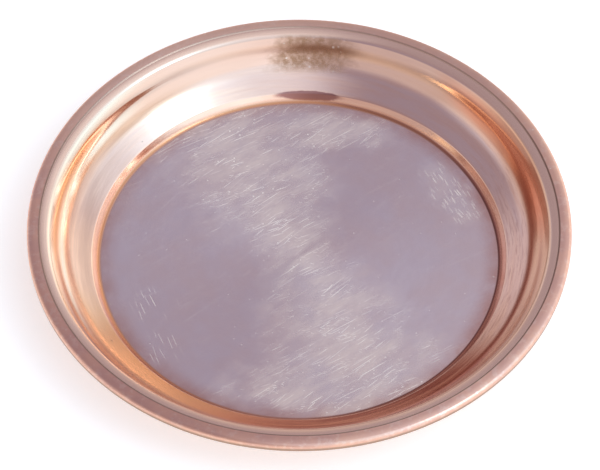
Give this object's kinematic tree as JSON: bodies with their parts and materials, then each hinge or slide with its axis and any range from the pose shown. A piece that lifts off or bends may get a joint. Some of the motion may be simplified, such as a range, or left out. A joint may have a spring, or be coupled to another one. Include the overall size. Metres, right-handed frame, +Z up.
{
  "type": "puja thali",
  "caption": "Shallow round copper offering dish with a flat floor, a stepped two-slope wall, a narrow shoulder and an edge rolled over a stiffening wire",
  "frame": {"origin": "Middle of the floor's underside, in the plane of the surface that the dish rests on", "axes": "+Z is up along the axis that the dish is spun about; the dish is round, and -Y is the side nearest to the picture's viewer"},
  "size_m": [0.203, 0.203, 0.021],
  "materials": {
    "copper": null,
    "wire": "drawn steel wire, dull"
  },
  "bodies": {
    "root": {"copper_dish": "copper", "rim_wire": "wire"}
  },
  "joints": []
}
